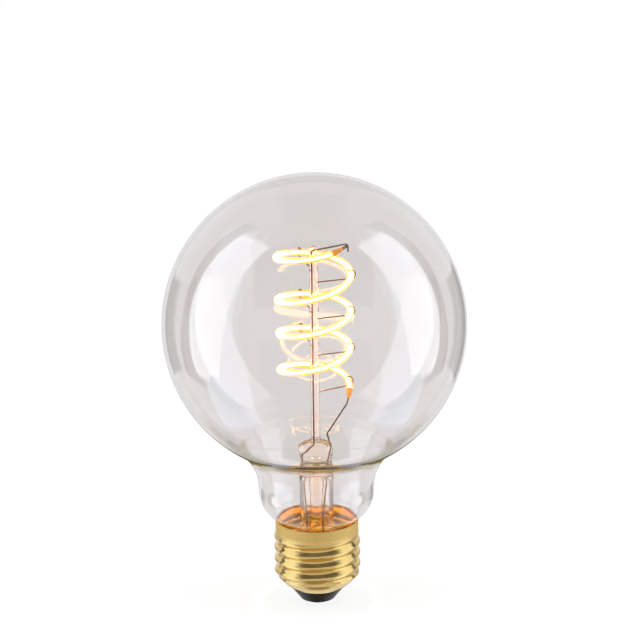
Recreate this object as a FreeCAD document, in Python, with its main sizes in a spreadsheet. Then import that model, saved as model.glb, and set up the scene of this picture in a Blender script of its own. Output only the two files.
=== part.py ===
import FreeCAD, Part
import math
import os
import Sketcher
from types import SimpleNamespace
from FreeCAD import Placement, Rotation, Vector

# A globe lamp: clear glass envelope, coiled LED filament on a glass mount, E27 screw cap.
# Millimetres, +Z up, origin at the middle of the centre contact's face.

# Driving dimensions, in millimetres and degrees
dimensions = [
    # Glass envelope
    ("globe_diameter", 93.0),
    ("globe_lower_pull", 1.0),
    ("glass_wall", 0.8),
    ("neck_diameter", 35.3),
    ("neck_length", 0.9),
    ("neck_fillet", 17.0),
    ("shoulder_radius", 9.7),
    ("skirt_fillet", 1.5),
    ("skirt_fillet_depth", 0.27),
    ("skirt_clearance", 0.25),
    ("skirt_lip_clearance", 0.15),
    # Glass mount
    ("flare_tube_diameter", 10.2),
    ("flare_wall", 0.9),
    ("flare_tube_height", 16.85),
    ("press_taper", 5.0),
    ("press_width", 10.4),
    ("press_thickness", 6.4),
    ("press_height", 6.3),
    ("press_edge", 0.9),
    ("blow_hole_width", 3.4),
    ("blow_hole_height", 1.3),
    ("blow_hole_drop", 4.6),
    ("exhaust_diameter", 3.8),
    ("exhaust_bore", 2.6),
    ("exhaust_tip_length", 3.0),
    ("exhaust_tip_gap", 2.0),
    ("rod_diameter", 2.75),
    ("rod_seat", 2.0),
    ("rod_above_centre", 25.2),
    # Lead and support wires
    ("lead_diameter", 0.5),
    ("lead_bend", 0.7),
    ("lead_forward", 1.5),
    ("long_lead_low", 2.9),
    ("long_lead_high", 3.75),
    ("long_lead_rise", 2.0),
    ("short_lead_low", 1.75),
    ("short_lead_high", 3.1),
    ("lead_rod_gap", 0.08),
    ("long_lead_offset", 0.6),
    ("long_lead_arm_drop", 0.8),
    ("long_lead_corner", 0.55),
    ("long_lead_hook", 2.0),
    ("short_lead_kink", 2.2),
    ("short_lead_lean", 0.6),
    ("support_diameter", 0.4),
    ("support_rise", 2.5),
    ("support_seat", 0.7),
    ("hook_clearance", 0.1),
    ("hook_sweep", 215.0),
    ("back_support_azimuth", 112.0),
    ("low_support_azimuth", 14.0),
    # Filament
    ("filament_diameter", 2.1),
    ("coil_low_radius", 10.5),
    ("coil_high_radius", 11.45),
    ("coil_pitch", 11.75),
    ("coil_tilt", 0.55),
    ("coil_below_centre", 19.6),
    ("coil_first_angle", -17.0),
    ("coil_last_angle", 1400.0),
    ("coil_sway", 0.95),
    ("tail_drop", 3.2),
    ("tail_angle", 57.0),
    ("terminal_width", 0.9),
    ("terminal_thickness", 0.25),
    ("upper_terminal_length", 2.2),
    ("lower_terminal_length", 1.6),
    ("terminal_gap", 0.04),
    ("weld_gap", 0.1),
    # Screw cap
    ("thread_crest_diameter", 26.4),
    ("thread_depth", 1.05),
    ("thread_pitch", 3.629),
    ("thread_phase", 3.75),
    ("thread_run_in", 1.0),
    ("thread_run_out", 1.3),
    ("thread_low_margin", 3.3),
    ("thread_high_margin", 4.0),
    ("band_step", 0.45),
    ("shell_wall", 0.3),
    ("shell_height", 21.95),
    ("shell_base_rise", 5.1),
    ("shell_base_bend", 3.3),
    ("shell_hole_diameter", 16.6),
    ("cap_clearance", 0.05),
    ("cement_height", 2.9),
    ("cement_depth", 0.55),
    ("insulator_height", 4.0),
    ("insulator_face_diameter", 10.8),
    ("insulator_flange", 1.2),
    ("insulator_ledge", 0.1),
    ("contact_height", 1.1),
    ("contact_diameter", 7.2),
    ("contact_face_diameter", 4.8),
    ("contact_edge", 0.35),
    ("shank_diameter", 2.4),
    ("shank_height", 2.2),
    # Driver
    ("board_thickness", 1.0),
    ("board_clearance", 0.3),
    ("board_rise", 0.1),
    ("part_inset", 4.65),
    ("rectifier_length", 4.8),
    ("rectifier_width", 3.9),
    ("rectifier_height", 1.7),
    ("chip_length", 4.9),
    ("chip_width", 3.8),
    ("chip_height", 1.5),
    ("resistor_diameter", 2.4),
    ("resistor_length", 6.3),
    ("capacitor_diameter", 4.8),
    ("capacitor_length", 7.0),
    ("hookup_diameter", 0.5),
    ("shell_wire_height", 4.5),
]

doc = FreeCAD.newDocument("globe_bulb")
sheet = doc.addObject("Spreadsheet::Sheet", "sizes")
for row, (alias, number) in enumerate(dimensions, start=1):
    sheet.set(f"A{row}", alias)
    sheet.set(f"B{row}", str(number))
    sheet.setAlias(f"B{row}", alias)
doc.recompute()


class Size:
    """A number together with the sheet expression that gives it."""

    def __init__(self, number, text=None):
        self.number = float(number)
        self.text = text if text else repr(float(number))

    def joined(self, other, sign, number):
        return Size(number, f"({self.text} {sign} {as_size(other).text})")

    def __add__(self, other):
        return self.joined(other, "+", self.number + as_size(other).number)

    def __sub__(self, other):
        return self.joined(other, "-", self.number - as_size(other).number)

    def __mul__(self, other):
        return self.joined(other, "*", self.number * as_size(other).number)

    def __truediv__(self, other):
        return self.joined(other, "/", self.number / as_size(other).number)

    def __neg__(self):
        return Size(-self.number, f"(-{self.text})")


def as_size(value):
    return value if isinstance(value, Size) else Size(value)


def root(value):
    return Size(math.sqrt(value.number), f"sqrt({value.text})")


size = SimpleNamespace(**{
    alias: Size(sheet.get(alias), f"sizes.{alias}") for alias, _ in dimensions
})

# Heights and radii that several pieces share
insulator_face = size.contact_height
shell_base = insulator_face + size.insulator_height
rim_height = shell_base + size.shell_height
band_radius = size.thread_crest_diameter / 2 - size.band_step
root_inner_radius = size.thread_crest_diameter / 2 - size.thread_depth - size.shell_wall
skirt_radius = band_radius - size.shell_wall - size.skirt_clearance
skirt_inner_radius = skirt_radius - size.glass_wall
board_bottom = shell_base + size.shell_base_rise + size.board_rise
board_top = board_bottom + size.board_thickness
board_radius = root_inner_radius - size.board_clearance
skirt_bottom = rim_height - size.thread_high_margin + size.skirt_lip_clearance + size.flare_wall

globe_radius = size.globe_diameter / 2
lower_radius = globe_radius - size.globe_lower_pull
neck_radius = size.neck_diameter / 2
skirt_top = rim_height - size.skirt_fillet_depth
bend_reach = size.shoulder_radius + size.skirt_fillet
bend_run = bend_reach - neck_radius + skirt_radius
shoulder_height = skirt_top + root(bend_reach * bend_reach - bend_run * bend_run)
neck_top = shoulder_height + size.neck_length
throat_reach = lower_radius + size.neck_fillet
throat_run = neck_radius + size.neck_fillet - size.globe_lower_pull
globe_centre = neck_top + root(throat_reach * throat_reach - throat_run * throat_run)

tube_radius = size.flare_tube_diameter / 2
tube_bore_radius = tube_radius - size.flare_wall
tube_top = skirt_bottom + size.flare_tube_height
press_bottom = tube_top + size.press_taper
press_top = press_bottom + size.press_height
exhaust_radius = size.exhaust_diameter / 2
rod_radius = size.rod_diameter / 2
rod_top = globe_centre + size.rod_above_centre
lead_radius = size.lead_diameter / 2


def bind(feature, **expressions):
    """Tie properties of an object to the sheet; __ stands for a dot."""
    for name, value in expressions.items():
        feature.setExpression(name.replace("__", "."), as_size(value).text)


def origin_plane(body, role):
    for feature in body.Origin.OriginFeatures:
        if feature.Role == role:
            return feature


def new_sketch(body, name, role, height=None):
    sketch = body.newObject("Sketcher::SketchObject", name)
    sketch.AttachmentSupport = [(origin_plane(body, role), "")]
    sketch.MapMode = "FlatFace"
    if height:
        bind(sketch, AttachmentOffset__Base__z=height)
    return sketch


def drive(sketch, kind, *references, value):
    """Add a dimension to a sketch and tie it to the sheet."""
    index = sketch.addConstraint(Sketcher.Constraint(kind, *references, value.number))
    sketch.setExpression(f"Constraints[{index}]", value.text)


def relate(sketch, kind, *references):
    """Add a relation to a sketch: point 3 of an arc is its centre, and -1 and -2 are the sketch's axes."""
    sketch.addConstraint(Sketcher.Constraint(kind, *references))


def place_point(sketch, geometry, position, across, up):
    """Fix one sketch point by its distances from the two axes; None lies on the axis."""
    if across is None:
        relate(sketch, "PointOnObject", geometry, position, -2)
    else:
        drive(sketch, "DistanceX", geometry, position, value=across)
    if up is None:
        relate(sketch, "PointOnObject", geometry, position, -1)
    else:
        drive(sketch, "DistanceY", geometry, position, value=up)


def plain(value):
    return value.number if value else 0.0


def outline(sketch, corners):
    """A closed outline of straight edges through corners given as sizes."""
    spots = [Vector(plain(across), plain(up), 0) for across, up in corners]
    for start, end in zip(spots, spots[1:] + spots[:1]):
        sketch.addGeometry(Part.LineSegment(start, end))
    count = len(corners)
    for index in range(count):
        relate(sketch, "Coincident", index, 2, (index + 1) % count, 1)
    for index, (across, up) in enumerate(corners):
        place_point(sketch, index, 1, across, up)


def revolve(body, sketch, name):
    turned = body.newObject("PartDesign::Revolution", name)
    turned.Profile = sketch
    turned.ReferenceAxis = (sketch, ["V_Axis"])
    turned.Angle = 360
    return turned


def turned_piece(label, corners):
    body = doc.addObject("PartDesign::Body", label)
    sketch = new_sketch(body, f"{label}_profile", "XZ_Plane")
    outline(sketch, corners)
    revolve(body, sketch, f"{label}_turned")
    return body


def arc(centre, radius, start, end):
    return Part.ArcOfCircle(Part.Circle(centre, Vector(0, 0, 1), radius), start, end)


def envelope_wall(sketch):
    """The section of the blown glass: globe, throat, neck, shoulder and skirt, with their inside."""
    wall = size.glass_wall.number
    globe = Vector(0, globe_centre.number, 0)
    lower = Vector(size.globe_lower_pull.number, globe_centre.number, 0)
    throat = Vector((neck_radius + size.neck_fillet).number, neck_top.number, 0)
    shoulder = Vector((neck_radius - size.shoulder_radius).number, shoulder_height.number, 0)
    bend = Vector((skirt_radius + size.skirt_fillet).number, skirt_top.number, 0)
    throat_angle = math.atan2(throat.y - lower.y, throat.x - lower.x)
    bend_angle = math.atan2(bend.y - shoulder.y, bend.x - shoulder.x)
    bottom = skirt_bottom.number

    def chain(inset):
        neck_side = neck_radius.number - inset
        skirt_side = skirt_radius.number - inset
        return [
            arc(globe, globe_radius.number - inset, 0, math.pi / 2),
            arc(lower, lower_radius.number - inset, throat_angle, 0),
            arc(throat, size.neck_fillet.number + inset, throat_angle + math.pi, math.pi),
            Part.LineSegment(Vector(neck_side, throat.y, 0), Vector(neck_side, shoulder.y, 0)),
            arc(shoulder, size.shoulder_radius.number - inset, bend_angle, 0),
            arc(bend, size.skirt_fillet.number + inset, bend_angle + math.pi, math.pi),
            Part.LineSegment(Vector(skirt_side, bend.y, 0), Vector(skirt_side, bottom, 0)),
        ]

    outside, inside = chain(0.0), chain(wall)
    sketch.addGeometry(outside + inside)
    inner = len(outside)
    globe_arc, lower_arc, throat_arc, neck_line, shoulder_arc, bend_arc, skirt_line = range(inner)
    end_line, axis_line = range(2 * inner, 2 * inner + 2)
    top = globe.y + globe_radius.number
    sketch.addGeometry(Part.LineSegment(
        Vector(skirt_radius.number, bottom, 0), Vector(skirt_inner_radius.number, bottom, 0)))
    sketch.addGeometry(Part.LineSegment(Vector(0, top - wall, 0), Vector(0, top, 0)))

    for shift in (0, inner):
        relate(sketch, "Tangent", globe_arc + shift, 1, lower_arc + shift, 2)
        relate(sketch, "Tangent", lower_arc + shift, 1, throat_arc + shift, 1)
        relate(sketch, "Tangent", throat_arc + shift, 2, neck_line + shift, 1)
        relate(sketch, "Tangent", neck_line + shift, 2, shoulder_arc + shift, 2)
        relate(sketch, "Tangent", shoulder_arc + shift, 1, bend_arc + shift, 1)
        relate(sketch, "Tangent", bend_arc + shift, 2, skirt_line + shift, 1)
        relate(sketch, "Vertical", neck_line + shift)
        relate(sketch, "Vertical", skirt_line + shift)
        relate(sketch, "PointOnObject", globe_arc + shift, 2, -2)
    for curve in (globe_arc, lower_arc, throat_arc, shoulder_arc, bend_arc):
        relate(sketch, "Coincident", curve, 3, curve + inner, 3)
    relate(sketch, "Coincident", skirt_line, 2, end_line, 1)
    relate(sketch, "Coincident", end_line, 2, skirt_line + inner, 2)
    relate(sketch, "Horizontal", end_line)
    relate(sketch, "Coincident", globe_arc + inner, 2, axis_line, 1)
    relate(sketch, "Coincident", axis_line, 2, globe_arc, 2)

    place_point(sketch, globe_arc, 3, None, globe_centre)
    relate(sketch, "Horizontal", globe_arc, 3, lower_arc, 3)
    drive(sketch, "Radius", globe_arc, value=globe_radius)
    drive(sketch, "Radius", lower_arc, value=lower_radius)
    drive(sketch, "Radius", throat_arc, value=size.neck_fillet)
    drive(sketch, "Radius", shoulder_arc, value=size.shoulder_radius)
    drive(sketch, "Radius", bend_arc, value=size.skirt_fillet)
    drive(sketch, "Radius", globe_arc + inner, value=globe_radius - size.glass_wall)
    drive(sketch, "DistanceX", neck_line, 1, value=neck_radius)
    drive(sketch, "DistanceX", skirt_line, 1, value=skirt_radius)
    drive(sketch, "DistanceY", bend_arc, 3, value=skirt_top)
    drive(sketch, "DistanceY", skirt_line, 2, value=skirt_bottom)


def glass_envelope():
    body = doc.addObject("PartDesign::Body", "glass_envelope")
    sketch = new_sketch(body, "envelope_profile", "XZ_Plane")
    envelope_wall(sketch)
    revolve(body, sketch, "envelope_blown")
    return body


# How many spots the formula faces pass through
count_per_pitch = 9
base_count = 20
shell_count = 48
count_per_turn = 30
coat_count = 16


def formula_face(spot, rows, columns):
    """A smooth face through spot(row, column), closed across its columns."""
    grid = [[spot(row, column % columns) for row in range(rows)] for column in range(columns + 1)]
    surface = Part.BSplineSurface()
    surface.interpolate(grid)
    surface.setUPeriodic()
    return surface.toShape()


def closed_solid(faces):
    shell = Part.makeShell(faces)
    shell.sewShape()
    solid = Part.makeSolid(shell)
    if solid.Volume < 0:
        solid.reverse()
    return solid


def plain_feature(label, shape):
    feature = doc.addObject("Part::Feature", label)
    feature.Shape = shape
    feature.Placement = Placement()
    return feature


def smooth_step(value):
    share = min(max(value, 0.0), 1.0)
    return share * share * (3.0 - 2.0 * share)


def end_edge(face, height):
    """The closed edge of a face that lies nearest to one height."""
    rounds = [edge for edge in face.Edges if edge.isClosed()]
    return min(rounds, key=lambda edge: abs(edge.CenterOfMass.z - height))


def screw_shell():
    """A rolled brass shell: plain band, round thread that runs in and out, base drawn in like a cone."""
    wall = size.shell_wall.number
    low, high = shell_base.number, rim_height.number
    straight_end = low + size.shell_base_rise.number
    bend, hole = low + size.shell_base_bend.number, size.shell_hole_diameter.number / 2
    thread_low = low + size.thread_low_margin.number
    thread_high = high - size.thread_high_margin.number
    band = band_radius.number
    lift = size.thread_crest_diameter.number / 2 - size.thread_depth.number / 2 - band
    pitch = size.thread_pitch.number
    straight_count = math.ceil((high - straight_end) / pitch * count_per_pitch)

    stations = []
    for step in range(straight_count):
        height = high + (straight_end - high) * step / straight_count
        stations.append((band, height, 1.0, 0.0))
    growth = ((band - hole) ** 2 + (bend - low) ** 2) / (straight_end - bend) ** 2 - 1
    for step in range(base_count + 1):
        share = (math.sqrt(1 + growth * step / base_count) - 1) / (math.sqrt(1 + growth) - 1)
        inward = (band - hole) * share
        down = straight_end - bend + (bend - low - straight_end + bend) * share
        slant = math.hypot(inward, down)
        radius = band - inward * share
        height = straight_end - 2 * (straight_end - bend) * share + (straight_end - 2 * bend + low) * share * share
        stations.append((radius, height, down / slant, -inward / slant))

    def thread(height, azimuth):
        rise = smooth_step((height - thread_low) / size.thread_run_in.number)
        fall = smooth_step((thread_high - height) / size.thread_run_out.number)
        crest = low + size.thread_phase.number + pitch * azimuth / (2 * math.pi)
        wave = math.cos(2 * math.pi * (height - crest) / pitch)
        return rise * fall * (lift + size.thread_depth.number / 2 * wave)

    def spot(inset):
        def on_wall(row, column):
            radius, height, out, up = stations[row]
            azimuth = 2 * math.pi * column / shell_count
            reach = radius - inset * out + thread(height, azimuth) * out
            return Vector(reach * math.cos(azimuth), reach * math.sin(azimuth), height - inset * up)
        return on_wall

    outside = formula_face(spot(0.0), len(stations), shell_count)
    inside = formula_face(spot(wall), len(stations), shell_count)
    rim = Part.makeRuledSurface(end_edge(outside, high), end_edge(inside, high))
    edge = Part.makeRuledSurface(end_edge(outside, low), end_edge(inside, low))
    return plain_feature("screw_shell", closed_solid([outside, inside, rim, edge]))


def coil_point(degrees):
    """The filament's centre line: a rising turn, tilted, with its first part hanging down."""
    angle = math.radians(degrees)
    first, last = size.coil_first_angle.number, size.coil_last_angle.number
    share = (degrees - first) / (last - first)
    low, high = size.coil_low_radius.number, size.coil_high_radius.number
    radius = low + (high - low) * share
    base = (globe_centre - size.coil_below_centre).number
    height = base + size.coil_pitch.number * degrees / 360 + size.coil_tilt.number * math.cos(angle)
    hang = max(0.0, 1.0 - (degrees - first) / size.tail_angle.number)
    height -= size.tail_drop.number * hang * hang
    if angle > 4 * math.pi:
        height -= size.coil_sway.number * math.sin(angle / 2)
    return Vector(radius * math.cos(angle), radius * math.sin(angle), height)


def coil_direction(degrees):
    step = 0.5
    ahead = coil_point(degrees + step) - coil_point(degrees - step)
    return ahead.normalize()


def led_filament():
    first, last = size.coil_first_angle.number, size.coil_last_angle.number
    rows = math.ceil((last - first) / 360 * count_per_turn) + 1
    radius = size.filament_diameter.number / 2

    def spot(row, column):
        degrees = first + (last - first) * row / (rows - 1)
        along = coil_direction(degrees)
        across = along.cross(Vector(0, 0, 1)).normalize()
        up = across.cross(along)
        turn = 2 * math.pi * column / coat_count
        return coil_point(degrees) + across * (radius * math.cos(turn)) + up * (radius * math.sin(turn))

    skin = formula_face(spot, rows, coat_count)
    ends = [Part.Face(Part.Wire([edge])) for edge in skin.Edges if edge.isClosed()]
    return plain_feature("led_filament", closed_solid([skin] + ends))


def terminal(label, degrees, outward, length):
    """A flat tab that leaves one end of the filament along its line."""
    along = coil_direction(degrees) * outward
    across = Vector(0, 0, 1).cross(along).normalize()
    up = along.cross(across)
    tab = doc.addObject("Part::Box", label)
    bind(tab, Length=length, Width=size.terminal_thickness, Height=size.terminal_width)
    corner = coil_point(degrees) + along * size.terminal_gap.number
    corner -= across * (size.terminal_thickness.number / 2) + up * (size.terminal_width.number / 2)
    tab.Placement = Placement(corner, Rotation(along, across, up, "XYZ"))
    return tab


def round_wire(label, edges, diameter):
    """A wire of one diameter along a path of lines and tangent arcs."""
    path = Part.Wire(edges)
    start = edges[0].valueAt(edges[0].FirstParameter)
    direction = edges[0].tangentAt(edges[0].FirstParameter)
    section = Part.Wire([Part.makeCircle(diameter.number / 2, start, direction)])
    return plain_feature(label, path.makePipeShell([section], True, False))


def bent_path(spots, bend):
    """Straight runs through the spots, with a tangent arc at each corner."""
    most_trim = 0.45  # of the shorter run beside a corner
    edges = []
    start = spots[0]
    for before, corner, after in zip(spots, spots[1:], spots[2:]):
        back, ahead = before - corner, after - corner
        half = back.getAngle(ahead) / 2
        room = most_trim * min(back.Length, ahead.Length)
        trim = min(bend / math.tan(half), room)
        radius = trim * math.tan(half)
        back.normalize()
        ahead.normalize()
        inward = (back + ahead).normalize()
        middle = corner + inward * (radius / math.sin(half) - radius)
        entry, leave = corner + back * trim, corner + ahead * trim
        edges.append(Part.makeLine(start, entry))
        edges.append(Part.Arc(entry, middle, leave).toShape())
        start = leave
    edges.append(Part.makeLine(start, spots[-1]))
    return edges


def weld_spot(degrees, outward, length):
    """Where a lead's middle line passes the end of a terminal."""
    reach = (length + size.terminal_gap + lead_radius + size.weld_gap).number
    return coil_point(degrees) + coil_direction(degrees) * (outward * reach)


def long_lead():
    """From the driver up the flare tube, through the press and up the post to the filament's top."""
    low, high, forward = size.long_lead_low.number, size.long_lead_high.number, size.lead_forward.number
    front = -(rod_radius + lead_radius + size.lead_rod_gap).number
    side = -size.long_lead_offset.number
    weld = weld_spot(size.coil_last_angle.number, 1, size.upper_terminal_length)
    spots = [
        Vector(-low, -forward, board_top.number),
        Vector(-low, -forward, rim_height.number),
        Vector(-high, 0, tube_top.number),
        Vector(-high, 0, (press_bottom + size.long_lead_rise).number),
        Vector(side, front, press_top.number - size.press_edge.number),
        Vector(side, front, (rod_top - size.long_lead_arm_drop).number),
        Vector(weld.x, weld.y, weld.z + size.long_lead_corner.number),
        Vector(weld.x, weld.y, weld.z - size.long_lead_hook.number),
    ]
    return round_wire("long_lead", bent_path(spots, size.lead_bend.number), size.lead_diameter)


def short_lead():
    """From the driver through the press to the filament's lower end."""
    low, high, forward = size.short_lead_low.number, size.short_lead_high.number, size.lead_forward.number
    exit_side = (size.press_width / 2 - size.press_edge).number - lead_radius.number
    top = press_top.number
    kink = size.short_lead_kink.number
    weld = weld_spot(size.coil_first_angle.number, -1, size.lower_terminal_length)
    spots = [
        Vector(low, -forward, board_top.number),
        Vector(low, -forward, rim_height.number),
        Vector(high, 0, tube_top.number),
        Vector(high, 0, press_bottom.number),
        Vector(exit_side, 0, top - kink),
        Vector(exit_side, 0, top),
        Vector(exit_side - size.short_lead_lean.number, 0, top + kink),
        weld,
    ]
    return round_wire("short_lead", bent_path(spots, size.lead_bend.number), size.lead_diameter)


def support_wire(label, degrees):
    """A wire set in the post that runs out under one turn and curls up round it."""
    azimuth = math.radians(degrees)
    outward = Vector(math.cos(azimuth), math.sin(azimuth), 0)
    upward = Vector(0, 0, 1)
    turn = coil_point(degrees)
    slope = coil_direction(degrees).z
    slant = 1.0 / math.sqrt(1.0 - slope * slope)
    hook = size.filament_diameter.number / 2 * slant + size.support_diameter.number / 2
    hook += size.hook_clearance.number
    reach = math.hypot(turn.x, turn.y)
    root_out = rod_radius.number - size.support_seat.number
    root_up = turn.z - size.support_rise.number

    run, drop = reach - root_out, turn.z - root_up
    distance = math.hypot(run, drop)
    bearing = math.atan2(drop, run) - math.asin(hook / distance)
    touch = bearing - math.pi / 2
    sweep = math.radians(size.hook_sweep.number)

    def on_hook(angle):
        return outward * (reach + hook * math.cos(angle)) + upward * (turn.z + hook * math.sin(angle))

    start = outward * root_out + upward * root_up
    curl = Part.Arc(on_hook(touch), on_hook(touch + sweep / 2), on_hook(touch + sweep))
    edges = [Part.makeLine(start, on_hook(touch)), curl.toShape()]
    return round_wire(label, edges, size.support_diameter)


def support_wires():
    back = size.back_support_azimuth.number
    angles = [size.low_support_azimuth.number, 360, 720, 1080, 360 + back, 720 + back, 1080 + back]
    return [support_wire(f"support_wire_{index}", degrees) for index, degrees in enumerate(angles, 1)]


def centre_rod(wires):
    post = doc.addObject("Part::Cylinder", "rod_blank")
    bind(post, Radius=rod_radius, Height=rod_top - press_top + size.rod_seat)
    bind(post, Placement__Base__z=press_top - size.rod_seat)
    roots = doc.addObject("Part::Compound", "support_roots")
    roots.Links = wires
    rod = doc.addObject("Part::Cut", "centre_rod")
    rod.Base = post
    rod.Tool = roots
    return rod


def press_section(body, name, height, half_width, half_depth):
    """A round or oval section of the press."""
    sketch = new_sketch(body, name, "XY_Plane", height)
    middle = Vector(0, 0, 0)
    if half_depth is None:
        sketch.addGeometry(Part.Circle(middle, Vector(0, 0, 1), half_width.number))
        relate(sketch, "Coincident", 0, 3, -1, 1)
        drive(sketch, "Radius", 0, value=half_width)
        return sketch
    long_end, short_end = Vector(half_width.number, 0, 0), Vector(0, half_depth.number, 0)
    sketch.addGeometry(Part.Ellipse(long_end, short_end, middle))
    sketch.exposeInternalGeometry(0)
    relate(sketch, "Coincident", 0, 3, -1, 1)
    relate(sketch, "PointOnObject", 1, 2, -1)
    drive(sketch, "Distance", 1, value=half_width * 2)
    drive(sketch, "Distance", 2, value=half_depth * 2)
    return sketch


def stem_flare(leads):
    """The flared tube with its flattened press, bored for the exhaust, the leads and the post."""
    body = doc.addObject("PartDesign::Body", "stem_blank")
    profile = new_sketch(body, "flare_profile", "XZ_Plane")
    flare_wall(profile)
    revolve(body, profile, "flare_turned")
    round_end = press_section(body, "press_round", tube_top, tube_radius, None)
    press_half, press_depth = size.press_width / 2, size.press_thickness / 2
    flat_end = press_section(body, "press_flat", press_bottom, press_half, press_depth)
    neck = body.newObject("PartDesign::AdditiveLoft", "press_neck")
    neck.Profile = round_end
    neck.Sections = [flat_end]
    doc.recompute()
    block = body.newObject("PartDesign::Pad", "press_block")
    block.Profile = flat_end
    bind(block, Length=size.press_height)
    doc.recompute()
    edges = block.Shape.Edges
    top_edge = max(range(len(edges)), key=lambda index: edges[index].CenterOfMass.z)
    rounding = body.newObject("PartDesign::Fillet", "press_rounding")
    rounding.Base = (block, [f"Edge{top_edge + 1}"])
    bind(rounding, Radius=size.press_edge)
    body.Tip = rounding

    hole_height = press_top - size.blow_hole_drop
    riser = doc.addObject("Part::Cylinder", "blow_riser")
    bind(riser, Radius=size.exhaust_bore / 2, Height=hole_height - tube_top, Placement__Base__z=tube_top)
    mouth = doc.addObject("Part::Box", "blow_mouth")
    bind(mouth, Length=size.blow_hole_width, Width=size.press_thickness, Height=size.blow_hole_height)
    bind(mouth, Placement__Base__x=-(size.blow_hole_width / 2), Placement__Base__y=-size.press_thickness)
    bind(mouth, Placement__Base__z=hole_height - size.blow_hole_height / 2)
    seat = doc.addObject("Part::Cylinder", "rod_seat")
    bind(seat, Radius=rod_radius, Height=size.rod_seat * 2)
    bind(seat, Placement__Base__z=press_top - size.rod_seat)
    bores = doc.addObject("Part::MultiFuse", "stem_bores")
    bores.Shapes = [riser, mouth, seat] + leads
    stem = doc.addObject("Part::Cut", "stem_flare")
    stem.Base = body
    stem.Tool = bores
    return stem


def flare_wall(sketch):
    """The section of the flare: tube, round flare and the flat lip that seals to the skirt."""
    sweep = skirt_inner_radius - tube_radius
    centre_up = skirt_bottom + sweep
    lip_bottom = skirt_bottom - size.flare_wall
    centre = Vector(skirt_inner_radius.number, centre_up.number, 0)
    outer, inner = tube_radius.number, tube_bore_radius.number
    rise, lip = tube_top.number, skirt_radius.number
    high, low = skirt_bottom.number, lip_bottom.number
    sketch.addGeometry([
        Part.LineSegment(Vector(inner, rise, 0), Vector(outer, rise, 0)),
        Part.LineSegment(Vector(outer, rise, 0), Vector(outer, centre.y, 0)),
        arc(centre, sweep.number, math.pi, 1.5 * math.pi),
        Part.LineSegment(Vector(centre.x, high, 0), Vector(lip, high, 0)),
        Part.LineSegment(Vector(lip, high, 0), Vector(lip, low, 0)),
        Part.LineSegment(Vector(lip, low, 0), Vector(centre.x, low, 0)),
        arc(centre, sweep.number + size.flare_wall.number, math.pi, 1.5 * math.pi),
        Part.LineSegment(Vector(inner, centre.y, 0), Vector(inner, rise, 0)),
    ])
    top, outside, outer_arc, lip_top, lip_edge, lip_under, inner_arc, inside = range(8)
    relate(sketch, "Coincident", top, 2, outside, 1)
    relate(sketch, "Tangent", outside, 2, outer_arc, 1)
    relate(sketch, "Tangent", outer_arc, 2, lip_top, 1)
    relate(sketch, "Coincident", lip_top, 2, lip_edge, 1)
    relate(sketch, "Coincident", lip_edge, 2, lip_under, 1)
    relate(sketch, "Tangent", lip_under, 2, inner_arc, 2)
    relate(sketch, "Tangent", inner_arc, 1, inside, 1)
    relate(sketch, "Coincident", inside, 2, top, 1)
    relate(sketch, "Coincident", outer_arc, 3, inner_arc, 3)
    relate(sketch, "Horizontal", top)
    relate(sketch, "Vertical", lip_edge)
    relate(sketch, "Vertical", outside)
    relate(sketch, "Horizontal", lip_top)
    drive(sketch, "DistanceX", outside, 1, value=tube_radius)
    drive(sketch, "DistanceY", outside, 1, value=tube_top)
    drive(sketch, "DistanceX", outer_arc, 3, value=skirt_inner_radius)
    drive(sketch, "DistanceX", lip_edge, 1, value=skirt_radius)
    drive(sketch, "DistanceY", lip_edge, 1, value=skirt_bottom)
    drive(sketch, "Distance", lip_edge, value=size.flare_wall)
    relate(sketch, "Horizontal", lip_under)
    relate(sketch, "Vertical", inside)


def exhaust_tube():
    """A thin tube under the press, drawn to a sealed point above the driver."""
    bore = size.exhaust_bore / 2
    tip = board_top + size.exhaust_tip_gap
    straight_end = tip + size.exhaust_tip_length
    point = (exhaust_radius - bore) / 2
    return turned_piece("exhaust_tube", [
        (None, tip),
        (point, tip),
        (exhaust_radius, straight_end),
        (exhaust_radius, tube_top),
        (bore, tube_top),
        (bore, straight_end + size.exhaust_tip_length / 4),
        (None, straight_end - size.exhaust_tip_length / 2),
    ])


def cap_cement():
    bond_radius = band_radius - size.shell_wall - size.cap_clearance
    top = rim_height - size.cement_depth
    bottom = top - size.cement_height
    return turned_piece("cap_cement", [
        (skirt_radius, bottom), (bond_radius, bottom), (bond_radius, top), (skirt_radius, top),
    ])


def insulator():
    """Black glass: a cone under the shell, a waist through its hole and a flange inside it."""
    face_radius = size.insulator_face_diameter / 2
    hole = size.shell_hole_diameter / 2
    lean = (band_radius - hole) / size.shell_base_bend
    inset = (size.shell_wall + size.cap_clearance * 3) * root(lean * lean + 1)
    ledge = shell_base - size.insulator_ledge
    bore = size.shank_diameter / 2 + size.cap_clearance
    flange_top = shell_base + size.insulator_flange
    return turned_piece("insulator", [
        (bore, insulator_face), (face_radius, insulator_face), (hole - size.cap_clearance, ledge),
        (hole - inset, ledge), (hole - inset, shell_base),
        (hole - inset + lean * size.insulator_flange, flange_top), (bore, flange_top),
    ])


def centre_contact():
    radius = size.contact_diameter / 2
    shank = size.shank_diameter / 2
    return turned_piece("centre_contact", [
        (None, None), (size.contact_face_diameter / 2, None), (radius, size.contact_edge),
        (radius, insulator_face), (shank, insulator_face),
        (shank, insulator_face + size.shank_height), (None, insulator_face + size.shank_height),
    ])


def upright(label, radius, height, across, along, up):
    post = doc.addObject("Part::Cylinder", label)
    bind(post, Radius=radius, Height=height)
    bind(post, Placement__Base__x=across, Placement__Base__y=along, Placement__Base__z=up)
    return post


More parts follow.
